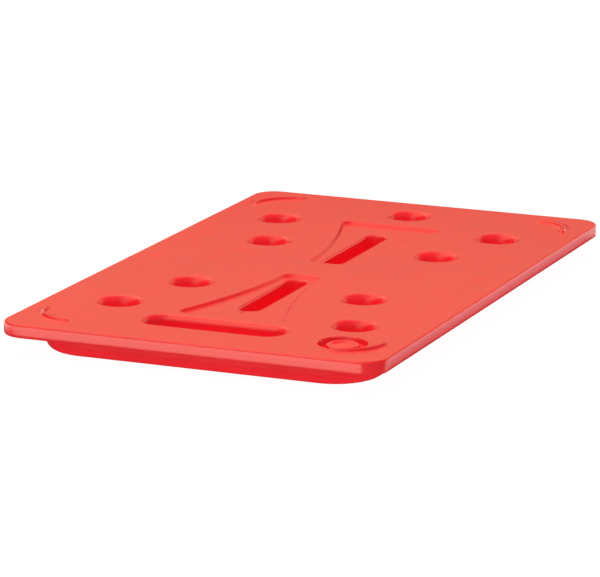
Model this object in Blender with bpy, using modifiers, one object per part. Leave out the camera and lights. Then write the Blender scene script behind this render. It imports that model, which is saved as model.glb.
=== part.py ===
"""Hollow thermal plate for an insulated food carrier, filled with a heat-retaining gel.

Two formed polyethylene sheets are welded round the flange and round the hand hold.
Units are metres. The pan's underside lies on z = 0 and the plate is centred on x = y = 0,
with its long side along Y and the hand hold at the -Y end.
"""
import math

import bmesh
import bpy

# Overall size of the plate
PLATE_WIDTH = 0.325
PLATE_LENGTH = 0.530
TOP_HEIGHT = 0.0280
FLANGE_THICKNESS = 0.0115
CORNER_RADIUS = 0.020
EDGE_RADIUS = 0.0028

# Formed sheets
SHEET = 0.0024
GAP = 0.0003
PARTING_HEIGHT = TOP_HEIGHT - FLANGE_THICKNESS / 2
FLANGE_BOTTOM = TOP_HEIGHT - FLANGE_THICKNESS

# Pan under the flange
PAN_INSET = 0.019
PAN_CORNER_RADIUS = 0.041
PAN_FLOOR_RADIUS = 0.009
PAN_ROOT_RADIUS = 0.003

# Conical dimples that tie the top sheet to the pan's floor
DIMPLE_RADIUS = 0.0165
DIMPLE_LIP = 0.003
DIMPLE_FLOOR_RADIUS = 0.0110
POCKET_FLOOR_FILLET = 0.003
OUTER_DIMPLE = (0.1018, 0.1630)
INNER_DIMPLE = (0.0766, 0.0808)
END_DIMPLE = (0.0, 0.2160)

# Flared recesses, one towards each end (1 is +Y, -1 is -Y), with a deep slot down each middle
RECESS_RANGE = {1: (0.0246, 0.1748), -1: (0.0260, 0.1765)}
SLOT_RANGE = {1: (0.0305, 0.1428), -1: (0.0328, 0.1442)}
RECESS_DEPTH = 0.0024
RECESS_DRAFT = 0.0024
RECESS_HALF_START = 0.0142
RECESS_FLARE = 0.0310
RECESS_FLARE_POWER = 1.7
RECESS_CORNER = 0.006
SLOT_HALF_WIDTH = 0.0093
SLOT_LIP = 0.0012
SLOT_DRAFT = 0.0020

# Hand hold
HAND_Y = -0.2045
HAND_HALF_LENGTH = 0.0578
HAND_HALF_WIDTH = 0.0140
HAND_CORNER = 0.0125
HAND_WALL = 0.0034
HAND_TOP_LIP = 0.0055
HAND_BOTTOM_LIP = 0.0040

# Fill port and its plug
PORT_X = 0.1132
PORT_Y = -0.2163
PORT_POCKET_RADIUS = 0.0205
PORT_POCKET_DEPTH = 0.0050
PORT_HOLE_RADIUS = 0.0090
PLUG_CAP_RADIUS = 0.0130
PLUG_CAP_DROP = 0.0010
PLUG_DISH_RADIUS = 0.0085
PLUG_DISH_DEPTH = 0.0008
PLUG_NECK_LENGTH = 0.0085
PLUG_BEVEL = 0.0010
SEAL_RADII = (0.0096, 0.0124)
SEAL_THICKNESS = 0.0010

# Raised corner ribs that locate a plate stacked on top
RIB_CENTRE = (0.1125, 0.2080)
RIB_RADIUS = 0.0320
RIB_HALF_WIDTH = 0.0022
RIB_HEIGHT = 0.0020
RIB_OVERRUN = math.radians(5)

OVERCUT = 0.001
CORNER_STEPS = 6
RIB_STEPS = 12
PAN_FLOOR_STEPS = 4
HAND_LIP_STEPS = 3
SHARP_ANGLE = math.radians(35)
HALF_ROUND = 0.999
FILLET_MIDDLE = 0.3
SIDE_STEPS = 7
TURN_STEPS = 20

TOP_FACE_UNDERSIDE = TOP_HEIGHT - SHEET
POCKET_FLOOR = 2 * SHEET + GAP


def clear_scene():
    for item in list(bpy.data.objects):
        bpy.data.objects.remove(item, do_unlink=True)


def add_collection(name):
    collection = bpy.data.collections.new(name)
    bpy.context.scene.collection.children.link(collection)
    return collection


def add_material(name, colour, roughness):
    material = bpy.data.materials.new(name)
    material.use_nodes = True
    shader = material.node_tree.nodes["Principled BSDF"]
    shader.inputs["Base Color"].default_value = (*colour, 1.0)
    shader.inputs["Roughness"].default_value = roughness
    shader.inputs["Metallic"].default_value = 0.0
    return material


def place(mesh, name, collection):
    item = bpy.data.objects.new(name, mesh)
    collection.objects.link(item)
    return item


def finish_part(item, material):
    item.data.materials.clear()
    item.data.materials.append(material)
    item.data.shade_smooth()
    item.data.set_sharp_from_angle(angle=SHARP_ANGLE)


# ---------------------------------------------------------------- outlines

def rounded_rectangle(half_x, half_y, radius):
    """Points anticlockwise round a rectangle with round corners."""
    points = []
    quadrants = ((1, 1, 0.0), (-1, 1, 0.5), (-1, -1, 1.0), (1, -1, 1.5))
    for side_x, side_y, turn in quadrants:
        centre_x = side_x * (half_x - radius)
        centre_y = side_y * (half_y - radius)
        for step in range(CORNER_STEPS + 1):
            angle = math.pi * (turn + 0.5 * step / CORNER_STEPS)
            points.append((centre_x + radius * math.cos(angle),
                           centre_y + radius * math.sin(angle)))
    return points


def arc_points(centre, radius, start, end, steps):
    """Points on an arc between two angles, both ends included."""
    points = []
    for step in range(steps + 1):
        angle = start + (end - start) * step / steps
        points.append((centre[0] + radius * math.cos(angle),
                       centre[1] + radius * math.sin(angle)))
    return points


def recess_half_width(fraction):
    return RECESS_HALF_START + RECESS_FLARE * fraction ** RECESS_FLARE_POWER


def recess_outline(end, grow):
    """Flared outline towards +Y (end = 1) or -Y (end = -1), grown outwards."""
    begin, stop = RECESS_RANGE[end]
    length = stop - begin
    radius = RECESS_CORNER + grow
    first = RECESS_CORNER / length
    last = 1.0 - first
    wide = recess_half_width(last) + grow
    narrow = RECESS_HALF_START + grow
    right = arc_points((narrow - radius, begin + RECESS_CORNER),
                       radius, -math.pi / 2, 0.0, CORNER_STEPS // 2)
    for step in range(1, SIDE_STEPS):
        fraction = first + (last - first) * step / SIDE_STEPS
        right.append((recess_half_width(fraction) + grow, begin + fraction * length))
    right += arc_points((wide - radius, stop - RECESS_CORNER),
                        radius, 0.0, math.pi / 2, CORNER_STEPS // 2)
    left = [(-x, y) for x, y in reversed(right)]
    outline = [(x, end * y) for x, y in right + left]
    return outline if end > 0 else outline[::-1]


def slot_outline(end, grow):
    """Round-ended slot on the centreline of one recess."""
    begin, stop = SLOT_RANGE[end]
    middle = end * (begin + stop) / 2
    half_length = (stop - begin) / 2 + grow
    half_width = SLOT_HALF_WIDTH + grow
    outline = rounded_rectangle(half_width, half_length, half_width * HALF_ROUND)
    return [(x, y + middle) for x, y in outline]


def hand_outline(grow):
    outline = rounded_rectangle(HAND_HALF_LENGTH + grow, HAND_HALF_WIDTH + grow,
                                HAND_CORNER + grow)
    return [(x, y + HAND_Y) for x, y in outline]


def circle_outline(centre, radius):
    full = arc_points(centre, radius, 0.0, 2 * math.pi, TURN_STEPS)
    return full[:-1]


# ---------------------------------------------------------------- solids

def loft(name, sections, collection, floor=True, ceiling=True):
    """Skin through outlines stacked from the bottom up, each an (outline, height) pair."""
    shape = bmesh.new()
    rings = []
    for outline, height in sections:
        rings.append([shape.verts.new((x, y, height)) for x, y in outline])
    count = len(rings[0])
    for lower, upper in zip(rings, rings[1:]):
        for index in range(count):
            following = (index + 1) % count
            shape.faces.new((lower[index], lower[following], upper[following], upper[index]))
    if floor:
        shape.faces.new(rings[0][::-1])
    if ceiling:
        shape.faces.new(rings[-1])
    mesh = bpy.data.meshes.new(name)
    shape.to_mesh(mesh)
    shape.free()
    return place(mesh, name, collection)


def turned(name, profile, centre, collection):
    """Solid of revolution from (radius, height) points listed from the top down."""
    shape = bmesh.new()
    points = [shape.verts.new((radius, 0.0, height)) for radius, height in profile]
    for upper, lower in zip(points, points[1:]):
        shape.edges.new((upper, lower))
    if profile[0][0] > 0:
        shape.edges.new((points[-1], points[0]))
    mesh = bpy.data.meshes.new(name)
    shape.to_mesh(mesh)
    shape.free()
    item = place(mesh, name, collection)
    item.location = (centre[0], centre[1], 0.0)
    screw = item.modifiers.new("turn", "SCREW")
    screw.steps = TURN_STEPS
    screw.render_steps = TURN_STEPS
    screw.use_merge_vertices = True
    screw.merge_threshold = 0.00001
    return item


def join(item, operand, operation):
    modifier = item.modifiers.new(operation.lower(), "BOOLEAN")
    modifier.operation = operation
    modifier.object = operand
    modifier.solver = "EXACT"


def make_guide(item):
    item.hide_render = True
    item.display_type = "WIRE"
    return item


def lip_points(clear, lip, face_height, steps=2):
    """Round lip from the face down to the clear wall, as (offset, height) pairs."""
    points = []
    for step in range(steps + 1):
        angle = math.pi / 2 * (1 + step / steps)
        points.append((clear + lip + lip * math.cos(angle),
                       face_height - lip + lip * math.sin(angle)))
    return points


def dimple_places():
    places = []
    for x, y in (OUTER_DIMPLE, INNER_DIMPLE):
        for side_x in (-1, 1):
            for side_y in (-1, 1):
                places.append((side_x * x, side_y * y))
    places.append(END_DIMPLE)
    return places


def dimple_cutters(guides):
    """Inside of each dimple, open at the top face."""
    floor = POCKET_FLOOR
    middle = FILLET_MIDDLE * POCKET_FLOOR_FILLET
    lip = lip_points(DIMPLE_RADIUS, DIMPLE_LIP, TOP_HEIGHT)
    profile = [(0.0, TOP_HEIGHT + OVERCUT), (lip[0][0], TOP_HEIGHT + OVERCUT)] + lip
    profile += [(DIMPLE_FLOOR_RADIUS, floor + POCKET_FLOOR_FILLET),
                (DIMPLE_FLOOR_RADIUS - middle, floor + middle),
                (DIMPLE_FLOOR_RADIUS - POCKET_FLOOR_FILLET, floor), (0.0, floor)]
    return [make_guide(turned("dimple_cutter", profile, centre, guides))
            for centre in dimple_places()]


def dimple_bodies(guides, grow):
    """Outside of each dimple, from within the top sheet down to the pan's floor."""
    bottom = SHEET + GAP - grow
    top = TOP_HEIGHT - SHEET / 2
    profile = [(0.0, top), (DIMPLE_RADIUS + SHEET + grow, top),
               (DIMPLE_FLOOR_RADIUS + SHEET + grow, bottom + POCKET_FLOOR_FILLET),
               (DIMPLE_FLOOR_RADIUS + grow, bottom), (0.0, bottom)]
    return [make_guide(turned("dimple_body", profile, centre, guides))
            for centre in dimple_places()]


def recess_cutter(end, guides):
    floor = TOP_HEIGHT - RECESS_DEPTH
    slope = RECESS_DRAFT / RECESS_DEPTH
    sections = ((recess_outline(end, 0.0), floor),
                (recess_outline(end, RECESS_DRAFT + slope * OVERCUT), TOP_HEIGHT + OVERCUT))
    return make_guide(loft("recess_cutter", sections, guides))


def recess_body(end, guides, grow):
    bottom = TOP_HEIGHT - RECESS_DEPTH - SHEET - grow
    outline = recess_outline(end, SHEET + grow)
    sections = ((outline, bottom), (outline, TOP_HEIGHT - SHEET / 2))
    return make_guide(loft("recess_body", sections, guides))


def slot_cutter(end, guides):
    face = TOP_HEIGHT - RECESS_DEPTH
    sections = [(slot_outline(end, -SLOT_DRAFT - POCKET_FLOOR_FILLET / 2), POCKET_FLOOR),
                (slot_outline(end, -SLOT_DRAFT), POCKET_FLOOR + POCKET_FLOOR_FILLET)]
    for offset, height in reversed(lip_points(0.0, SLOT_LIP, face)):
        sections.append((slot_outline(end, offset), height))
    sections.append((slot_outline(end, SLOT_LIP), face + OVERCUT))
    return make_guide(loft("slot_cutter", sections, guides))


def slot_body(end, guides, grow):
    top = TOP_HEIGHT - RECESS_DEPTH - SHEET / 2
    bottom = SHEET + GAP - grow
    sections = ((slot_outline(end, grow - SLOT_DRAFT + SHEET / 2), bottom),
                (slot_outline(end, SHEET - SLOT_DRAFT + grow), bottom + POCKET_FLOOR_FILLET),
                (slot_outline(end, SHEET + grow), top))
    return make_guide(loft("slot_body", sections, guides))


def hand_cutter_above(guides):
    """Upper half of the hand hold's opening, flaring into a round lip at the top face."""
    sections = [(hand_outline(0.0), PARTING_HEIGHT - OVERCUT)]
    for offset, height in reversed(lip_points(0.0, HAND_TOP_LIP, TOP_HEIGHT,
                                             HAND_LIP_STEPS)):
        sections.append((hand_outline(offset), height))
    sections.append((hand_outline(HAND_TOP_LIP), TOP_HEIGHT + OVERCUT))
    return make_guide(loft("hand_cutter", sections, guides))


def hand_cutter_below(guides):
    """Lower half of the hand hold's opening, flaring into a lip at the pan's underside."""
    sections = [(hand_outline(HAND_BOTTOM_LIP), -OVERCUT)]
    for offset, height in lip_points(0.0, HAND_BOTTOM_LIP, 0.0):
        sections.append((hand_outline(offset), -height))
    sections.append((hand_outline(0.0), PARTING_HEIGHT + OVERCUT))
    return make_guide(loft("hand_cutter", sections, guides))


def hand_collar(low, high, guides, grow=0.0):
    outline = hand_outline(HAND_WALL + grow)
    return make_guide(loft("hand_collar", ((outline, low), (outline, high)), guides))


def port_body(guides, grow):
    """Outside of the fill port's pocket."""
    outline = circle_outline((PORT_X, PORT_Y), PORT_POCKET_RADIUS + SHEET + grow)
    bottom = TOP_HEIGHT - PORT_POCKET_DEPTH - SHEET - grow
    sections = ((outline, bottom), (outline, TOP_HEIGHT - SHEET / 2))
    return make_guide(loft("port_body", sections, guides))


def port_cutter(guides):
    """Pocket and the hole through its floor, in one turned shape."""
    floor = TOP_HEIGHT - PORT_POCKET_DEPTH
    bottom = floor - SHEET - OVERCUT
    profile = [(0.0, TOP_HEIGHT + RIB_HEIGHT + OVERCUT),
               (PORT_POCKET_RADIUS, TOP_HEIGHT + RIB_HEIGHT + OVERCUT),
               (PORT_POCKET_RADIUS, floor), (PORT_HOLE_RADIUS, floor),
               (PORT_HOLE_RADIUS, bottom), (0.0, bottom)]
    return make_guide(turned("port_cutter", profile, (PORT_X, PORT_Y), guides))


def corner_rib(side_x, side_y, guides):
    """Raised quarter arc that follows one corner of the plate."""
    start = -RIB_OVERRUN
    end = math.pi / 2 + RIB_OVERRUN
    outer = arc_points(RIB_CENTRE, RIB_RADIUS + RIB_HALF_WIDTH, start, end, RIB_STEPS)
    inner = arc_points(RIB_CENTRE, RIB_RADIUS - RIB_HALF_WIDTH, end, start, RIB_STEPS)
    outline = [(side_x * x, side_y * y) for x, y in outer + inner]
    if side_x * side_y < 0:
        outline.reverse()
    top = TOP_HEIGHT + RIB_HEIGHT
    sections = ((outline, TOP_HEIGHT - SHEET / 2), (outline, top))
    return make_guide(loft("rib_body", sections, guides))


# ---------------------------------------------------------------- the pieces

def plate_outline(grow):
    return rounded_rectangle(PLATE_WIDTH / 2 + grow, PLATE_LENGTH / 2 + grow,
                             CORNER_RADIUS + grow)


def pan_outline(grow):
    return rounded_rectangle(PLATE_WIDTH / 2 - PAN_INSET + grow,
                             PLATE_LENGTH / 2 - PAN_INSET + grow,
                             PAN_CORNER_RADIUS + grow)


def edge_points(face_height, side, steps=3):
    """Round edge of the flange, from its upright side (offset 0) over to a face."""
    points = []
    for step in range(steps + 1):
        angle = math.pi / 2 * step / steps
        points.append((EDGE_RADIUS * (math.cos(angle) - 1),
                       face_height + side * EDGE_RADIUS * (math.sin(angle) - 1)))
    return points


def add_solidify(item):
    modifier = item.modifiers.new("sheet", "SOLIDIFY")
    modifier.thickness = SHEET
    modifier.offset = -1.0
    modifier.use_even_offset = True


def make_upper_shell(parts, guides, material):
    """Top sheet: flange edge, dimples, recesses, slots, hand hold lip and fill port."""
    sections = [(plate_outline(0.0), PARTING_HEIGHT + GAP / 2)]
    for offset, height in edge_points(TOP_HEIGHT, 1):
        sections.append((plate_outline(offset), height))
    shell = loft("upper_shell", sections, parts, floor=False)
    add_solidify(shell)
    bodies = dimple_bodies(guides, 0.0)
    cutters = dimple_cutters(guides)
    for end in (-1, 1):
        bodies.append(recess_body(end, guides, 0.0))
        bodies.append(slot_body(end, guides, 0.0))
        cutters.append(recess_cutter(end, guides))
        cutters.append(slot_cutter(end, guides))
    bodies.append(hand_collar(PARTING_HEIGHT + GAP / 2, TOP_HEIGHT - SHEET / 2, guides))
    cutters.append(hand_cutter_above(guides))
    bodies.append(port_body(guides, 0.0))
    cutters.append(port_cutter(guides))
    for side_x in (-1, 1):
        for side_y in (-1, 1):
            bodies.append(corner_rib(side_x, side_y, guides))
    for body in bodies:
        join(shell, body, "UNION")
    for cutter in cutters:
        join(shell, cutter, "DIFFERENCE")
    finish_part(shell, material)


def pan_sections(grow):
    """Outer pan surface as stacked outlines, from its floor up to the flange's underside."""
    sections = []
    for step in range(PAN_FLOOR_STEPS + 1):
        angle = math.pi / 2 * step / PAN_FLOOR_STEPS
        inset = PAN_FLOOR_RADIUS * (1 - math.sin(angle))
        height = PAN_FLOOR_RADIUS * (1 - math.cos(angle))
        sections.append((pan_outline(grow - inset), height - grow))
    sections.append((pan_outline(grow), FLANGE_BOTTOM - PAN_ROOT_RADIUS - grow))
    sections.append((pan_outline(grow + PAN_ROOT_RADIUS), FLANGE_BOTTOM - grow))
    return sections


def make_lower_shell(parts, guides, material):
    """Bottom sheet: pan, flange underside and the hand hold's lower wall."""
    sections = pan_sections(0.0)
    for offset, height in reversed(edge_points(FLANGE_BOTTOM, -1)):
        sections.append((plate_outline(offset), height))
    sections.append((plate_outline(0.0), PARTING_HEIGHT - GAP / 2))
    shell = loft("lower_shell", sections, parts, ceiling=False)
    add_solidify(shell)
    join(shell, hand_collar(SHEET / 2, PARTING_HEIGHT - GAP / 2, guides), "UNION")
    join(shell, hand_cutter_below(guides), "DIFFERENCE")
    finish_part(shell, material)


def make_gel_fill(parts, guides, material):
    """Gel that fills the hollow, with a gap to both sheets."""
    inward = -SHEET - GAP
    sections = pan_sections(inward)
    ledge = FLANGE_BOTTOM - inward
    sections.append((plate_outline(inward), ledge + GAP))
    sections.append((plate_outline(inward), TOP_FACE_UNDERSIDE - GAP))
    gel = loft("gel_fill", sections, parts)
    cutters = dimple_bodies(guides, GAP)
    for end in (-1, 1):
        cutters.append(recess_body(end, guides, GAP))
        cutters.append(slot_body(end, guides, GAP))
    cutters.append(hand_collar(-OVERCUT, TOP_HEIGHT, guides, GAP))
    cutters.append(port_body(guides, GAP))
    neck_bottom = TOP_HEIGHT - PORT_POCKET_DEPTH - PLUG_NECK_LENGTH - GAP
    outline = circle_outline((PORT_X, PORT_Y), PORT_HOLE_RADIUS)
    sections = ((outline, neck_bottom), (outline, TOP_HEIGHT - SHEET))
    cutters.append(make_guide(loft("neck_room", sections, guides)))
    for cutter in cutters:
        join(gel, cutter, "DIFFERENCE")
    finish_part(gel, material)


def make_plug(parts, material):
    """Fill plug: domed cap with a raised rim, on a neck that closes the port."""
    floor = TOP_HEIGHT - PORT_POCKET_DEPTH
    underside = floor + SEAL_THICKNESS + 2 * GAP
    rim_top = TOP_HEIGHT - PLUG_CAP_DROP
    dish = rim_top - PLUG_DISH_DEPTH
    bevel = PLUG_BEVEL
    neck = PORT_HOLE_RADIUS - GAP
    end = floor - PLUG_NECK_LENGTH
    profile = [(0.0, dish + PLUG_DISH_DEPTH / 2), (PLUG_DISH_RADIUS / 2, dish + PLUG_DISH_DEPTH / 4),
               (PLUG_DISH_RADIUS, dish), (PLUG_DISH_RADIUS + bevel, rim_top),
               (PLUG_CAP_RADIUS - bevel, rim_top), (PLUG_CAP_RADIUS, rim_top - bevel),
               (PLUG_CAP_RADIUS, underside), (neck, underside),
               (neck, end + bevel), (neck - bevel, end), (0.0, end)]
    plug = turned("fill_plug", profile, (PORT_X, PORT_Y), parts)
    finish_part(plug, material)


def make_seal(parts, material):
    """Flat rubber ring under the plug's cap."""
    low = TOP_HEIGHT - PORT_POCKET_DEPTH + GAP
    high = low + SEAL_THICKNESS
    inner, outer = SEAL_RADII
    profile = [(inner, high), (outer, high), (outer, low), (inner, low)]
    seal = turned("plug_seal", profile, (PORT_X, PORT_Y), parts)
    finish_part(seal, material)


def main():
    clear_scene()
    parts = add_collection("thermal_plate")
    guides = add_collection("cutters")
    polyethylene = add_material("red_polyethylene", (0.80, 0.085, 0.065), 0.42)
    cap_plastic = add_material("red_plug_plastic", (0.74, 0.07, 0.06), 0.38)
    gel = add_material("heat_gel", (0.72, 0.80, 0.84), 0.25)
    rubber = add_material("seal_rubber", (0.05, 0.05, 0.05), 0.7)
    make_upper_shell(parts, guides, polyethylene)
    make_lower_shell(parts, guides, polyethylene)
    make_gel_fill(parts, guides, gel)
    make_plug(parts, cap_plastic)
    make_seal(parts, rubber)


main()
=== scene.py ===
import math

import bmesh
import bpy
import numpy as np
from mathutils import Matrix, Vector, geometry, noise


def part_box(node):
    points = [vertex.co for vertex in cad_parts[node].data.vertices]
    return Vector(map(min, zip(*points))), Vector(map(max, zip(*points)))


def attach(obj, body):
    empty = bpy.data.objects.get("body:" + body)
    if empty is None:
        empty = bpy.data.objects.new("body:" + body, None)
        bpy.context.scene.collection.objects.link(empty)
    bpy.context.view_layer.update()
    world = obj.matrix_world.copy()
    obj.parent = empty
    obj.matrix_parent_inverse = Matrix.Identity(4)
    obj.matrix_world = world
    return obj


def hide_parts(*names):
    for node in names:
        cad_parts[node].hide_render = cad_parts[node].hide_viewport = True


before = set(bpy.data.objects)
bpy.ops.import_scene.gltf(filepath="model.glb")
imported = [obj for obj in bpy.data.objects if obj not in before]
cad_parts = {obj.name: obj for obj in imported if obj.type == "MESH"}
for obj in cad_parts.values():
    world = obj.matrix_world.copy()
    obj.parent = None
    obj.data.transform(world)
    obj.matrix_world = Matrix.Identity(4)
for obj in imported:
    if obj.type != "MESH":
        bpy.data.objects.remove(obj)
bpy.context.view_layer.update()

# Heights and sizes read from the frame
_, UPPER_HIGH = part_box("upper_shell")
LOWER_LOW, LOWER_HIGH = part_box("lower_shell")
PLUG_LOW, PLUG_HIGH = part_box("fill_plug")
SEAL_LOW, SEAL_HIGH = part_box("plug_seal")

HALF_WIDTH = UPPER_HIGH.x
HALF_LENGTH = UPPER_HIGH.y
RIB_HEIGHT = 0.0020
TOP = UPPER_HIGH.z - RIB_HEIGHT
GAP = 0.0003
PARTING = LOWER_HIGH.z + GAP / 2
WELD_SEAM = 0.00001
PARTING_LOW = PARTING - WELD_SEAM
PARTING_HIGH = PARTING + WELD_SEAM
FLANGE_BOTTOM = 2 * PARTING - TOP

SHEET = 0.0024
POCKET_FLOOR = 2 * SHEET + GAP
CORNER_RADIUS = 0.020
EDGE_RADIUS = 0.0020
LOWER_EDGE_RADIUS = 0.0024
PARTING_BEVEL = 0.00002

PAN_INSET = 0.019
PAN_CORNER_RADIUS = 0.041
# Painted shade: depth over which the pan wall turns to the painted hollow crimson
PAN_SHADE_DEPTH = 0.004
PAN_FLOOR_RADIUS = 0.009
PAN_ROOT_RADIUS = 0.003

DIMPLE_RADIUS = 0.0152
DIMPLE_LIP = 0.0062
DIMPLE_FLOOR_RADIUS = 0.0110
POCKET_FILLET = 0.003
# Painted shade: depth over which dimples and slots turn to the painted hollow crimson
POCKET_SHADE_DEPTH = 0.006
DIMPLES = [(side_x * x, side_y * y)
           for x, y in ((0.1018, 0.1630), (0.0766, 0.0808))
           for side_x in (-1, 1) for side_y in (-1, 1)] + [(0.0, 0.2160)]

# Recess and slot towards each end: end sign, recess start and end, slot start and end
RECESSES = ((1, 0.0246, 0.1748, 0.0305, 0.1428), (-1, 0.0260, 0.1765, 0.0328, 0.1442))
RECESS_DEPTH = 0.0024
RECESS_DRAFT = 0.0024
RECESS_FILLET = 0.0016
RECESS_HALF_START = 0.0142
RECESS_FLARE = 0.0310
RECESS_FLARE_POWER = 1.7
RECESS_CORNER = 0.006
SLOT_HALF_WIDTH = 0.0092
SLOT_LIP = 0.0024
SLOT_DRAFT = 0.0020

HAND_Y = -0.2045
HAND_HALF_LENGTH = 0.0578
HAND_HALF_WIDTH = 0.0140
HAND_CORNER = 0.0125
HAND_TOP_LIP = 0.0055
HAND_BOTTOM_LIP = 0.0040
# Painted shade: depth over which the hand hold's walls turn to the painted hollow crimson
HAND_SHADE_DEPTH = 0.009

PORT = ((PLUG_LOW.x + PLUG_HIGH.x) / 2, (PLUG_LOW.y + PLUG_HIGH.y) / 2)
PORT_POCKET_RADIUS = 0.0198
PORT_POCKET_DEPTH = 0.0050
PORT_LIP = 0.0008
PORT_HOLE_RADIUS = 0.0090
# Painted shade: depth over which the port pocket turns to the painted hollow crimson
PORT_SHADE_DEPTH = 0.0045
PORT_FILLET = 0.0012
PORT_HOLE_EDGE = 0.0004

RIB_CENTRE = (0.1125, 0.2080)
RIB_RADIUS = 0.0320
RIB_HALF_BASE = 0.0026
RIB_HALF_CREST = 0.0006
RIB_END_RAMP = 0.0040
RIB_MIDDLE_STEPS = 30
RIB_SIDE_STEPS = 7
RIB_OVERRUN = math.radians(5)

SHARP_ANGLE = math.radians(32)
CIRCLE_STEPS = 64
ARC_STEPS = 14
FILLET_STEPS = 7
GRID = 0.005
LONGEST_WALL_STEP = 0.0035
LONGEST_EDGE_STEP = 0.0012
SAG = 0.00012
SAG_WAVES = 9


# ---------------------------------------------------------------- profiles and outlines

def rounded_path(corners, longest=LONGEST_WALL_STEP, steps=FILLET_STEPS):
    """Points along a bent line of (offset, height, radius) corners, each corner rounded."""
    path = [Vector(corners[0][:2])]
    for before, corner, after in zip(corners, corners[1:], corners[2:]):
        point = Vector(corner[:2])
        radius = corner[2]
        if radius <= 0:
            path.append(point)
            continue
        back = (Vector(before[:2]) - point).normalized()
        ahead = (Vector(after[:2]) - point).normalized()
        half = back.angle(ahead) / 2
        centre = point + (back + ahead).normalized() * radius / math.sin(half)
        first = point + back * radius / math.tan(half) - centre
        last = point + ahead * radius / math.tan(half) - centre
        turn = first.angle_signed(last)
        start = math.atan2(first.y, first.x)
        for step in range(steps + 1):
            angle = start - turn * step / steps
            path.append(centre + Vector((radius * math.cos(angle), radius * math.sin(angle))))
    path.append(Vector(corners[-1][:2]))
    dense = [path[0]]
    for point in path[1:]:
        run = (point - dense[-1]).length
        pieces = max(1, math.ceil(run / longest))
        start = dense[-1]
        for piece in range(1, pieces + 1):
            dense.append(start.lerp(point, piece / pieces))
    return dense


def arc(centre, radius, start, end, steps):
    points = []
    for step in range(steps + 1):
        angle = start + (end - start) * step / steps
        points.append((centre[0] + radius * math.cos(angle),
                       centre[1] + radius * math.sin(angle)))
    return points


def between(first, last, count):
    """Points strictly between two points, dividing the line into count equal runs."""
    return [(first[0] + (last[0] - first[0]) * step / count,
             first[1] + (last[1] - first[1]) * step / count) for step in range(1, count)]


def rounded_rectangle(half_x, half_y, radius, centre=(0.0, 0.0), spacing=GRID):
    """Function of an offset that gives the outline grown by it, always with as many points."""
    runs_x = max(1, round(2 * (half_x - radius) / spacing))
    runs_y = max(1, round(2 * (half_y - radius) / spacing))

    def outline(offset):
        points = []
        quadrants = ((1, 1, 0.0), (-1, 1, 0.5), (-1, -1, 1.0), (1, -1, 1.5))
        for side_x, side_y, turn in quadrants:
            middle = (centre[0] + side_x * (half_x - radius),
                      centre[1] + side_y * (half_y - radius))
            corner = arc(middle, radius + offset, math.pi * turn, math.pi * (turn + 0.5),
                         ARC_STEPS)
            if points:
                runs = runs_x if side_x * side_y < 0 else runs_y
                points += between(points[-1], corner[0], runs)
            points += corner
        points += between(points[-1], points[0], runs_y)
        return points

    return outline


def plate_outline():
    return rounded_rectangle(HALF_WIDTH, HALF_LENGTH, CORNER_RADIUS)


def hand_outline():
    return rounded_rectangle(HAND_HALF_LENGTH, HAND_HALF_WIDTH, HAND_CORNER, (0.0, HAND_Y))


def circle(centre, radius):
    def outline(offset):
        return arc(centre, radius + offset, 0.0, 2 * math.pi, CIRCLE_STEPS)[:-1]

    return outline


def flared(end, start, stop):
    """Outline of a recess that widens from its start to its stop along one end's direction."""
    length = stop - start
    first = RECESS_CORNER / length
    last = 1.0 - first
    steps = round(length / GRID)

    def half_width(fraction):
        return RECESS_HALF_START + RECESS_FLARE * fraction ** RECESS_FLARE_POWER

    def outline(offset):
        radius = RECESS_CORNER + offset
        right = arc((RECESS_HALF_START - RECESS_CORNER, start + RECESS_CORNER), radius,
                    -math.pi / 2, 0.0, ARC_STEPS // 2)
        for step in range(1, steps):
            fraction = first + (last - first) * step / steps
            right.append((half_width(fraction) + offset, start + fraction * length))
        right += arc((half_width(last) - RECESS_CORNER, stop - RECESS_CORNER), radius,
                     0.0, math.pi / 2, ARC_STEPS // 2)
        wide = between(right[-1], (-right[-1][0], right[-1][1]), 14)
        left = [(-x, y) for x, y in reversed(right)]
        narrow = between(left[-1], right[0], 5)
        return [(x, end * y) for x, y in right + wide + left + narrow]

    return outline


# ---------------------------------------------------------------- sheet surfaces

def inside(points, loops):
    """Even-odd test of points against several closed loops at once."""
    points = np.asarray(points)
    crossings = np.zeros(len(points), int)
    for loop in loops:
        start = np.asarray(loop)
        stop = np.roll(start, -1, axis=0)
        for (x0, y0), (x1, y1) in zip(start, stop):
            spans = (y0 > points[:, 1]) != (y1 > points[:, 1])
            if spans.any():
                rise = (points[spans, 1] - y0) / (y1 - y0)
                crossings[spans] += points[spans, 0] < x0 + rise * (x1 - x0)
    return crossings % 2 == 1


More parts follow.
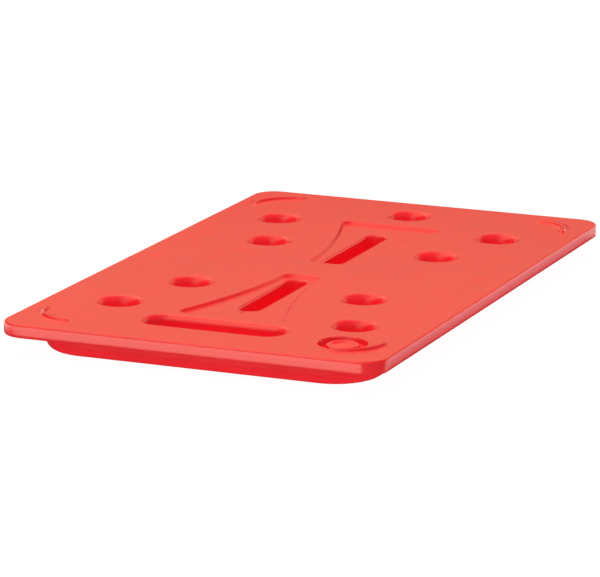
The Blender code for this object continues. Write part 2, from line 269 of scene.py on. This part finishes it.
class Surface:
    """Points and faces of one formed sheet, built from rings, bridges and flat fills."""

    def __init__(self):
        self.points = []
        self.shade_fade = []
        self.faces = []

    # Painted shade: this value is 1 on open faces and 0 deep in hollows, where the material paints
    # a more saturated crimson
    def add(self, point, shade_fade):
        self.points.append(Vector(point))
        self.shade_fade.append(shade_fade)
        return len(self.points) - 1

    def ring(self, outline, height, shade_fade=1.0):
        return [self.add((x, y, height), shade_fade) for x, y in outline]

    def bridge(self, ring, following):
        count = len(ring)
        for index in range(count):
            after = (index + 1) % count
            self.faces.append((ring[index], ring[after], following[after], following[index]))

    def loft(self, outline, path, shade_depth=0.0):
        """Rings down a path of (offset, height); painted hollow shade comes in over the shade
        depth.
        """
        top = path[0][1]
        rings = []
        for offset, height in path:
            shade_fade = 1.0 if shade_depth == 0 else max(0.0, 1.0 - abs(top - height) / shade_depth)
            rings.append(self.ring(outline(offset), height, shade_fade))
        for ring, following in zip(rings, rings[1:]):
            self.bridge(ring, following)
        return rings[0], rings[-1]

    def cap(self, ring, height, shade_fade=0.0):
        """Closes a ring of a round floor with rings that shrink to its middle."""
        middle = sum((self.points[i] for i in ring), Vector()) / len(ring)
        for share in (0.66, 0.33):
            inner = [self.add(((self.points[i] - middle) * share + middle)[:2] + (height,), shade_fade)
                     for i in ring]
            self.bridge(ring, inner)
            ring = inner
        hub = self.add((middle.x, middle.y, height), shade_fade)
        for index, corner in enumerate(ring):
            self.faces.append((corner, ring[(index + 1) % len(ring)], hub))

    def fill(self, outer, holes, height, spacing=GRID, shade_fade=1.0):
        """Flat triangles between an outer ring and the rings of the holes in it."""
        rings = [outer] + holes
        loops = [[tuple(self.points[i][:2]) for i in ring] for ring in rings]
        flat = np.array([point for loop in loops for point in loop])
        low, high = flat.min(0), flat.max(0)
        rows = math.ceil((high[1] - low[1]) / (spacing * 0.866))
        columns = math.ceil((high[0] - low[0]) / spacing) + 1
        grid = np.array([(low[0] + spacing * (column + 0.5 * (row % 2)),
                          low[1] + spacing * 0.866 * row)
                         for row in range(rows) for column in range(columns)])
        keep = inside(grid, loops)
        for corner in flat:
            keep &= np.hypot(*(grid - corner).T) > spacing * 0.7
        grid = grid[keep]
        coords = [Vector(point) for point in flat] + [Vector(point) for point in grid]
        edges = []
        base = 0
        for loop in loops:
            edges += [(base + i, base + (i + 1) % len(loop)) for i in range(len(loop))]
            base += len(loop)
        made = geometry.delaunay_2d_cdt(coords, edges, [], 0, 1e-7)
        corners, triangles, origins = made[0], made[2], made[3]
        known = [index for ring in rings for index in ring]
        places = []
        for corner, origin in zip(corners, origins):
            if origin and origin[0] < len(known):
                places.append(known[origin[0]])
            else:
                places.append(self.add((corner.x, corner.y, height), shade_fade))
        centres = np.array([sum((Vector(corners[i]) for i in face), Vector((0, 0))) / 3
                            for face in triangles])
        for face, wanted in zip(triangles, inside(centres, loops)):
            if wanted:
                self.faces.append(tuple(places[i] for i in face))

    def finish(self, name, upward):
        """Mesh object with its faces turned to the side that the visible skin is on."""
        mesh = bpy.data.meshes.new(name)
        mesh.from_pydata([tuple(point) for point in self.points], [], self.faces)
        # Painted shade: per-point share of the open colour, falling to the painted hollow crimson
        # deep down
        painted_shade_fade = mesh.attributes.new("painted_shade_fade", "FLOAT", "POINT")
        painted_shade_fade.data.foreach_set("value", self.shade_fade)
        shape = bmesh.new()
        shape.from_mesh(mesh)
        bmesh.ops.recalc_face_normals(shape, faces=shape.faces)
        shape.faces.ensure_lookup_table()
        flattest = max(shape.faces, key=lambda face: face.calc_area() * abs(face.normal.z))
        if (flattest.normal.z > 0) != upward:
            bmesh.ops.reverse_faces(shape, faces=shape.faces)
        shape.to_mesh(mesh)
        shape.free()
        mesh.shade_smooth()
        mesh.set_sharp_from_angle(angle=SHARP_ANGLE)
        item = bpy.data.objects.new(name, mesh)
        bpy.context.scene.collection.objects.link(item)
        return item


def thicken(item):
    """Gives the skin the sheet's thickness on its hidden side."""
    modifier = item.modifiers.new("sheet", "SOLIDIFY")
    modifier.thickness = SHEET
    modifier.offset = -1.0
    modifier.thickness_clamp = 1.0


def smoothstep(value):
    value = min(1.0, max(0.0, value))
    return value * value * (3 - 2 * value)


# ---------------------------------------------------------------- upper sheet

def add_dimple(sheet, centre):
    path = rounded_path([(DIMPLE_LIP * 1.5, TOP, 0), (0.0, TOP, DIMPLE_LIP),
                         (DIMPLE_FLOOR_RADIUS - DIMPLE_RADIUS, POCKET_FLOOR, POCKET_FILLET),
                         (DIMPLE_FLOOR_RADIUS / 2 - DIMPLE_RADIUS, POCKET_FLOOR, 0)])
    rim, floor = sheet.loft(circle(centre, DIMPLE_RADIUS), path, POCKET_SHADE_DEPTH)
    sheet.cap(floor, POCKET_FLOOR)
    return rim


def add_slot(sheet, end, start, stop, face):
    """Deep slot with a round lip; returns its rim, which lies in the recess floor."""
    half_length = (stop - start) / 2
    outline = rounded_rectangle(SLOT_HALF_WIDTH, half_length, SLOT_HALF_WIDTH,
                                (0.0, end * (start + stop) / 2))
    path = rounded_path([(SLOT_LIP * 1.6, face, 0), (0.0, face, SLOT_LIP),
                         (-SLOT_DRAFT, POCKET_FLOOR, POCKET_FILLET),
                         (-SLOT_HALF_WIDTH * 0.62, POCKET_FLOOR, 0)])
    rim, floor = sheet.loft(outline, path, POCKET_SHADE_DEPTH)
    sheet.fill(floor, [], POCKET_FLOOR, spacing=0.003, shade_fade=0.0)
    return rim


def add_recess(sheet, end, start, stop, slot_start, slot_stop):
    floor_height = TOP - RECESS_DEPTH
    outline = flared(end, start, stop)
    path = rounded_path([(RECESS_DRAFT * 1.7, TOP, 0), (RECESS_DRAFT, TOP, RECESS_FILLET),
                         (0.0, floor_height, RECESS_FILLET),
                         (-RECESS_DRAFT * 0.7, floor_height, 0)])
    rim, foot = sheet.loft(outline, path)
    slot = add_slot(sheet, end, slot_start, slot_stop, floor_height)
    sheet.fill(foot, [slot], floor_height, spacing=0.004)
    return rim


def add_hand_hold_above(sheet):
    outline = hand_outline()
    path = rounded_path([(HAND_TOP_LIP * 1.02, TOP, 0), (0.0, TOP, HAND_TOP_LIP * 0.96),
                         (0.0, PARTING_HIGH + PARTING_BEVEL, 0),
                         (PARTING_BEVEL, PARTING_HIGH, 0)])
    rim, _ = sheet.loft(outline, path, HAND_SHADE_DEPTH)
    return rim


def add_port(sheet):
    floor = TOP - PORT_POCKET_DEPTH
    hole = PORT_HOLE_RADIUS - PORT_POCKET_RADIUS
    path = rounded_path([(PORT_LIP * 2, TOP, 0), (0.0, TOP, PORT_LIP),
                         (-PORT_FILLET, floor, PORT_FILLET), (hole, floor, PORT_HOLE_EDGE),
                         (hole, floor - SHEET, 0)], longest=0.0022)
    rim, _ = sheet.loft(circle(PORT, PORT_POCKET_RADIUS), path, PORT_SHADE_DEPTH)
    return rim


def rib_height(across, along_end):
    """Rounded hump across the rib, run down smoothly at its ends."""
    side = 1.0 - smoothstep((abs(across) - RIB_HALF_CREST) / (RIB_HALF_BASE - RIB_HALF_CREST))
    return RIB_HEIGHT * side * smoothstep(along_end / RIB_END_RAMP)


def add_rib(sheet, side_x, side_y):
    """Raised quarter arc as a grid that starts and ends flush with the top face."""
    start, end = -RIB_OVERRUN, math.pi / 2 + RIB_OVERRUN
    length = RIB_RADIUS * (end - start)
    tip = [0.0, 0.0004, 0.0008, 0.0012, 0.0016, 0.0021]
    middle = [tip[-1] + (length - 2 * tip[-1]) * step / RIB_MIDDLE_STEPS
              for step in range(1, RIB_MIDDLE_STEPS)]
    stations = tip + middle + [length - place for place in reversed(tip)]
    across = [RIB_HALF_BASE * step / RIB_SIDE_STEPS
              for step in range(-RIB_SIDE_STEPS, RIB_SIDE_STEPS + 1)]
    rows = []
    for place in stations:
        angle = start + place / RIB_RADIUS
        row = []
        for offset in across:
            radius = RIB_RADIUS + offset
            height = rib_height(offset, min(place, length - place))
            row.append(sheet.add((side_x * (RIB_CENTRE[0] + radius * math.cos(angle)),
                                  side_y * (RIB_CENTRE[1] + radius * math.sin(angle)),
                                  TOP + height), 1.0))
        rows.append(row)
    for row, following in zip(rows, rows[1:]):
        for index in range(len(row) - 1):
            sheet.faces.append((row[index], row[index + 1], following[index + 1],
                                following[index]))
    edge = [row[0] for row in rows] + rows[-1][1:-1]
    edge += [row[-1] for row in reversed(rows)] + rows[0][-2:0:-1]
    return edge


def sag(point):
    """Slow unevenness of a moulded top face, fading to nothing at the parting line."""
    share = smoothstep((point.z - PARTING_HIGH) / (TOP - PARTING_HIGH))
    slow = noise.noise(Vector((point.x * SAG_WAVES, point.y * SAG_WAVES, 4.0)))
    return Vector((0.0, 0.0, -SAG * share * (1 + slow)))


def make_upper_sheet():
    sheet = Surface()
    path = rounded_path([(-EDGE_RADIUS * 1.02, TOP, 0), (0.0, TOP, EDGE_RADIUS),
                         (0.0, PARTING_HIGH + PARTING_BEVEL, 0),
                         (-PARTING_BEVEL, PARTING_HIGH, 0)], LONGEST_EDGE_STEP)
    border, _ = sheet.loft(plate_outline(), path)
    holes = [add_dimple(sheet, centre) for centre in DIMPLES]
    holes += [add_recess(sheet, *recess) for recess in RECESSES]
    holes.append(add_hand_hold_above(sheet))
    holes.append(add_port(sheet))
    holes += [add_rib(sheet, side_x, side_y) for side_x in (-1, 1) for side_y in (-1, 1)]
    sheet.fill(border, holes, TOP)
    sheet.points = [point + sag(point) for point in sheet.points]
    item = sheet.finish("upper_sheet", upward=True)
    thicken(item)
    return item


# ---------------------------------------------------------------- lower sheet

def make_lower_sheet():
    sheet = Surface()
    path = rounded_path([(-PARTING_BEVEL, PARTING_LOW, 0), (0.0, PARTING_LOW - PARTING_BEVEL, 0),
                         (0.0, FLANGE_BOTTOM, LOWER_EDGE_RADIUS),
                         (-LOWER_EDGE_RADIUS * 1.2, FLANGE_BOTTOM, 0)], LONGEST_EDGE_STEP)
    _, ledge = sheet.loft(plate_outline(), path)
    pan = rounded_rectangle(HALF_WIDTH - PAN_INSET, HALF_LENGTH - PAN_INSET,
                            PAN_CORNER_RADIUS)
    path = rounded_path([(PAN_ROOT_RADIUS * 1.3, FLANGE_BOTTOM, 0),
                         (0.0, FLANGE_BOTTOM, PAN_ROOT_RADIUS),
                         (0.0, 0.0, PAN_FLOOR_RADIUS), (-PAN_FLOOR_RADIUS * 1.2, 0.0, 0)])
    root, floor = sheet.loft(pan, path, PAN_SHADE_DEPTH)
    sheet.fill(ledge, [root], FLANGE_BOTTOM)
    path = rounded_path([(HAND_BOTTOM_LIP * 1.1, 0.0, 0), (0.0, 0.0, HAND_BOTTOM_LIP),
                         (0.0, PARTING_LOW - PARTING_BEVEL, 0),
                         (PARTING_BEVEL, PARTING_LOW, 0)])
    rim, _ = sheet.loft(hand_outline(), path, HAND_SHADE_DEPTH)
    sheet.fill(floor, [rim], 0.0)
    item = sheet.finish("lower_sheet", upward=False)
    thicken(item)
    return item


# ---------------------------------------------------------------- plug and seal

def turned(name, corners, centre):
    """Solid of revolution from rounded (radius, height, fillet) corners."""
    path = rounded_path(corners, longest=0.0015, steps=5)
    mesh = bpy.data.meshes.new(name)
    shape = bmesh.new()
    points = [shape.verts.new((radius, 0.0, height)) for radius, height in path]
    for first, second in zip(points, points[1:]):
        shape.edges.new((first, second))
    if corners[0][0] > 0:
        shape.edges.new((points[-1], points[0]))
    bmesh.ops.spin(shape, geom=list(shape.verts) + list(shape.edges), cent=(0, 0, 0),
                   axis=(0, 0, 1), angle=2 * math.pi, steps=CIRCLE_STEPS)
    bmesh.ops.remove_doubles(shape, verts=shape.verts, dist=1e-6)
    bmesh.ops.recalc_face_normals(shape, faces=shape.faces)
    shape.to_mesh(mesh)
    shape.free()
    mesh.shade_smooth()
    item = bpy.data.objects.new(name, mesh)
    item.location = (centre[0], centre[1], 0.0)
    bpy.context.scene.collection.objects.link(item)
    return item


def make_plug():
    """Cap with a raised rim round a shallow crowned dish, on the neck that closes the port."""
    rim = PLUG_HIGH.z
    cap = (PLUG_HIGH.x - PLUG_LOW.x) / 2
    underside = SEAL_HIGH.z + GAP
    neck = PORT_HOLE_RADIUS - GAP
    corners = [(0.0, rim - 0.0004, 0), (0.0050, rim - 0.0005, 0.003),
               (0.0085, rim - 0.0009, 0.001), (0.0095, rim, 0.0005),
               (cap, rim, 0.0010), (cap, underside, 0.0004),
               (neck, underside, 0.0004), (neck, PLUG_LOW.z, 0.0010), (0.0, PLUG_LOW.z, 0)]
    return turned("fill_plug_cap", corners, PORT)


def make_seal():
    """Rubber ring with rounded edges."""
    outer = (SEAL_HIGH.x - SEAL_LOW.x) / 2
    inner = PORT_HOLE_RADIUS + 2 * GAP
    middle = (inner + outer) / 2
    edge = 0.0004
    corners = [(middle, SEAL_HIGH.z, 0), (outer, SEAL_HIGH.z, edge), (outer, SEAL_LOW.z, edge),
               (inner, SEAL_LOW.z, edge), (inner, SEAL_HIGH.z, edge)]
    return turned("plug_seal_ring", corners, PORT)


# ---------------------------------------------------------------- materials

class Nodes:
    """Short hand for building one node material."""

    def __init__(self, name):
        self.material = bpy.data.materials.new(name)
        self.material.use_nodes = True
        self.tree = self.material.node_tree
        self.shader = self.tree.nodes["Principled BSDF"]

    def add(self, kind, settings=None, **inputs):
        node = self.tree.nodes.new(kind)
        for key, value in (settings or {}).items():
            setattr(node, key, value)
        for key, value in inputs.items():
            self.feed(node.inputs[key.replace("_", " ")], value)
        return node

    def feed(self, socket, value):
        if isinstance(value, bpy.types.NodeSocket):
            self.tree.links.new(value, socket)
        else:
            socket.default_value = value

    def noise(self, scale, detail, stretch=(1.0, 1.0, 1.0)):
        """Noise value from 0 to 1 in the object's own coordinates, in cycles per metre."""
        place = self.add("ShaderNodeTexCoord").outputs["Object"]
        spread = self.add("ShaderNodeMapping", Vector=place)
        spread.inputs["Scale"].default_value = stretch
        node = self.add("ShaderNodeTexNoise", Vector=spread.outputs[0], Scale=scale, Detail=detail)
        return node.outputs["Fac"]

    def remap(self, value, low, high, to_low, to_high):
        node = self.add("ShaderNodeMapRange", Value=value)
        for key, number in zip(("From Min", "From Max", "To Min", "To Max"),
                               (low, high, to_low, to_high)):
            node.inputs[key].default_value = number
        return node.outputs[0]

    def blend(self, factor, first, second, kind="MIX"):
        node = self.tree.nodes.new("ShaderNodeMix")
        node.data_type = "RGBA"
        node.blend_type = kind
        self.feed(node.inputs["Factor"], factor)
        self.feed(node.inputs[6], first)
        self.feed(node.inputs[7], second)
        return node.outputs[2]

    def maths(self, kind, first, second):
        node = self.tree.nodes.new("ShaderNodeMath")
        node.operation = kind
        self.feed(node.inputs[0], first)
        self.feed(node.inputs[1], second)
        return node.outputs[0]

    def bump(self, height, distance, strength):
        node = self.add("ShaderNodeBump", Height=height, Distance=distance, Strength=strength)
        self.feed(self.shader.inputs["Normal"], node.outputs[0])


def polyethylene(name, hollow_shade_colour, open_colour, base_roughness):
    """Satin moulded polyethylene: mottled, faintly pebbled, duller where it has been rubbed;
    painted shade gives hollows a more saturated crimson.
    """
    nodes = Nodes(name)
    painted_shade_fade = nodes.add("ShaderNodeAttribute", {"attribute_name": "painted_shade_fade"}).outputs["Fac"]
    mottle = nodes.noise(38.0, 5.0)
    cloud = nodes.noise(9.0, 2.0)
    # Painted shade: hollows get the more saturated crimson, standing in for shade and red light
    # bounced between the walls
    colour = nodes.blend(painted_shade_fade, (*hollow_shade_colour, 1), (*open_colour, 1))
    tone = nodes.remap(nodes.maths("ADD", mottle, cloud), 0.7, 1.3, 0.96, 1.04)
    tint = nodes.add("ShaderNodeHueSaturation", Value=tone, Color=colour).outputs[0]
    nodes.feed(nodes.shader.inputs["Base Color"], tint)
    scuffs = nodes.remap(nodes.noise(60.0, 6.0, (1.0, 0.12, 1.0)), 0.55, 0.75, 0.0, 0.03)
    patch = nodes.remap(mottle, 0.3, 0.7, base_roughness - 0.02, base_roughness + 0.02)
    nodes.feed(nodes.shader.inputs["Roughness"], nodes.maths("ADD", patch, scuffs))
    pebble = nodes.noise(420.0, 3.0)
    swell = nodes.noise(55.0, 2.0)
    height = nodes.maths("ADD", nodes.maths("MULTIPLY", pebble, 0.35), swell)
    nodes.bump(height, 0.0005, 0.05)
    nodes.shader.inputs["IOR"].default_value = 1.54
    return nodes.material


def gel_material():
    """Wet, cloudy gel with small bubbles."""
    nodes = Nodes("heat_gel")
    cloud = nodes.noise(30.0, 4.0)
    colour = nodes.blend(cloud, (0.60, 0.72, 0.78, 1), (0.80, 0.87, 0.88, 1))
    nodes.feed(nodes.shader.inputs["Base Color"], colour)
    bubbles = nodes.noise(600.0, 1.0)
    nodes.feed(nodes.shader.inputs["Roughness"], nodes.remap(bubbles, 0.3, 0.7, 0.08, 0.22))
    nodes.bump(bubbles, 0.0004, 0.2)
    return nodes.material


def rubber_material():
    """Matte black seal rubber with a dusty bloom."""
    nodes = Nodes("seal_rubber")
    bloom = nodes.noise(300.0, 4.0)
    nodes.feed(nodes.shader.inputs["Base Color"],
               nodes.blend(bloom, (0.018, 0.018, 0.019, 1), (0.045, 0.044, 0.043, 1)))
    nodes.feed(nodes.shader.inputs["Roughness"], nodes.remap(bloom, 0.3, 0.7, 0.62, 0.80))
    nodes.bump(bloom, 0.0003, 0.3)
    return nodes.material


def glowing_floor(name, glow):
    """Pale matt surface, lit from within so that shadows on it stay faint."""
    nodes = Nodes(name)
    tone = nodes.noise(3.0, 2.0)
    nodes.feed(nodes.shader.inputs["Base Color"],
               nodes.blend(tone, (0.05, 0.05, 0.05, 1), (0.06, 0.06, 0.06, 1)))
    nodes.shader.inputs["Roughness"].default_value = 0.9
    nodes.shader.inputs["Specular IOR Level"].default_value = 0.0
    nodes.shader.inputs["Emission Color"].default_value = (1.0, 1.0, 1.0, 1.0)
    nodes.shader.inputs["Emission Strength"].default_value = glow
    return nodes.material


def dress(item, material):
    item.data.materials.clear()
    item.data.materials.append(material)


# ---------------------------------------------------------------- stage

CAMERA_AIM = Vector((0.0151, -0.0685, TOP))
CAMERA_DISTANCE = 3.161
CAMERA_YAW = math.radians(22.856)
CAMERA_PITCH = math.radians(13.885)
CAMERA_ROLL = math.radians(0.107)
CAMERA_LENS = 232.73
FLOOR_GLOW = 0.97
BOUNCE_GLOW = 1.00
WORLD_LIGHT = 0.72
WORLD_GLOSS = 0.05
LIGHT_DISTANCE = 2.4
FLOOR_HALF_SIZE = 30.0
STAGE_STEP = 0.0002
CARD_OVERHANG = 0.055
CARD_SHIFT = 0.025


def make_camera():
    data = bpy.data.cameras.new("camera")
    data.sensor_width = 36.0
    data.lens = CAMERA_LENS
    data.clip_end = 50.0
    camera = bpy.data.objects.new("camera", data)
    turn = (Matrix.Rotation(CAMERA_YAW, 3, "Z")
            @ Matrix.Rotation(math.pi / 2 - CAMERA_PITCH, 3, "X")
            @ Matrix.Rotation(CAMERA_ROLL, 3, "Z"))
    camera.rotation_euler = turn.to_euler()
    back = Vector((math.sin(CAMERA_YAW) * math.cos(CAMERA_PITCH),
                   -math.cos(CAMERA_YAW) * math.cos(CAMERA_PITCH), math.sin(CAMERA_PITCH)))
    camera.location = CAMERA_AIM + back * CAMERA_DISTANCE
    bpy.context.scene.collection.objects.link(camera)
    bpy.context.scene.camera = camera


def stage_plane(name, half_x, half_y, layer, material):
    """Flat card for the stage, a few thin layers below the plate's underside."""
    mesh = bpy.data.meshes.new(name)
    shape = bmesh.new()
    bmesh.ops.create_grid(shape, x_segments=1, y_segments=1, size=1.0)
    bmesh.ops.scale(shape, vec=(half_x, half_y, 1.0), verts=shape.verts)
    shape.to_mesh(mesh)
    shape.free()
    plane = bpy.data.objects.new(name, mesh)
    plane.location.z = LOWER_LOW.z - layer * STAGE_STEP
    bpy.context.scene.collection.objects.link(plane)
    dress(plane, material)
    return plane


def make_floor():
    """Floor for the eye, a card for its light, and a dark card that keeps glare off the pan."""
    floor = stage_plane("floor", FLOOR_HALF_SIZE, FLOOR_HALF_SIZE, 1,
                        glowing_floor("studio_floor", FLOOR_GLOW))
    bounce = stage_plane("bounce_card", FLOOR_HALF_SIZE, FLOOR_HALF_SIZE, 2,
                         glowing_floor("bounce", BOUNCE_GLOW))
    dark = stage_plane("dark_card", HALF_WIDTH + CARD_OVERHANG, HALF_LENGTH + CARD_OVERHANG, 3,
                       rubber_material())
    dark.location.x = -CARD_SHIFT
    floor.visible_diffuse = False
    bounce.visible_camera = False
    dark.visible_camera = dark.visible_diffuse = False
    for plane in (floor, bounce):
        plane.visible_glossy = False
        plane.visible_shadow = False


def soft_box(name, azimuth, elevation, spread, radiance, colour, seen="glossy"):
    """Panel of light, for glare or for shading; azimuth 0 is in front (-Y), 90 right (+X)."""
    data = bpy.data.lights.new(name, "AREA")
    data.shape = "RECTANGLE"
    data.size, data.size_y = (2 * LIGHT_DISTANCE * math.tan(math.radians(angle / 2))
                              for angle in spread)
    data.energy = radiance * math.pi * data.size * data.size_y
    light = bpy.data.objects.new(name, data)
    azimuth, elevation = math.radians(azimuth), math.radians(elevation)
    back = Vector((math.sin(azimuth) * math.cos(elevation),
                   -math.cos(azimuth) * math.cos(elevation), math.sin(elevation)))
    light.location = Vector((0.0, 0.0, TOP)) + back * LIGHT_DISTANCE
    light.rotation_euler = back.to_track_quat("Z", "Y").to_euler()
    data.color = colour
    light.visible_camera = False
    light.visible_diffuse = seen == "diffuse"
    light.visible_glossy = seen == "glossy"
    bpy.context.scene.collection.objects.link(light)


def make_light():
    """Even sky for shading, nearly black in reflections, with panels that make the glare."""
    world = bpy.data.worlds.new("studio")
    world.use_nodes = True
    tree = world.node_tree
    background = tree.nodes["Background"]
    path = tree.nodes.new("ShaderNodeLightPath")
    dim = tree.nodes.new("ShaderNodeMapRange")
    dim.inputs["To Min"].default_value = WORLD_LIGHT
    dim.inputs["To Max"].default_value = WORLD_GLOSS
    tree.links.new(path.outputs["Is Glossy Ray"], dim.inputs["Value"])
    tree.links.new(dim.outputs[0], background.inputs["Strength"])
    background.inputs["Color"].default_value = (1.0, 1.0, 1.0, 1.0)
    bpy.context.scene.world = world
    world.cycles.sampling_method = "NONE"
    white = (1.0, 1.0, 1.0)
    mild = (1.0, 0.97, 0.80)
    warm = (1.0, 0.95, 0.55)
    soft_box("key_box", -75.0, 74.0, (70.0, 50.0), 2.08, white, seen="diffuse")
    soft_box("front_box", -31.0, -13.0, (84.0, 30.0), 3.4, mild)
    soft_box("strip_box", -8.0, 32.0, (44.0, 44.0), 0.9, mild)
    soft_box("left_box", -90.0, 58.0, (90.0, 40.0), 1.15, warm)
    soft_box("left_low_box", -112.0, -13.0, (78.0, 30.0), 2.4, mild)
    soft_box("side_box", 163.0, -16.0, (78.0, 34.0), 1.10, white)
    soft_box("rim_box", 150.0, 5.0, (50.0, 9.0), 2.2, mild)
    soft_box("back_box", 201.0, 27.0, (80.0, 34.0), 0.46, warm)
    soft_box("back_low_box", 203.0, -8.0, (60.0, 14.0), 0.7, warm)
    bpy.context.scene.view_settings.view_transform = "Standard"


def main():
    make_camera()
    make_floor()
    make_light()
    # First colour is the painted hollow shade, second the open surface colour
    red = polyethylene("red_polyethylene", (0.93, 0.010, 0.021), (0.82, 0.014, 0.019), 0.21)
    plug_red = polyethylene("red_plug_plastic", (0.91, 0.010, 0.021), (0.81, 0.014, 0.019), 0.21)
    pieces = ((make_upper_sheet(), "upper_shell", red, "polyethylene"),
              (make_lower_sheet(), "lower_shell", red, "polyethylene"),
              (make_plug(), "fill_plug", plug_red, "plug_plastic"),
              (make_seal(), "plug_seal", rubber_material(), "seal_rubber"))
    for item, node, material, slot in pieces:
        dress(item, material)
        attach(item, "root")
        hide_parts(node)
    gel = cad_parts["gel_fill"]
    dress(gel, gel_material())


main()
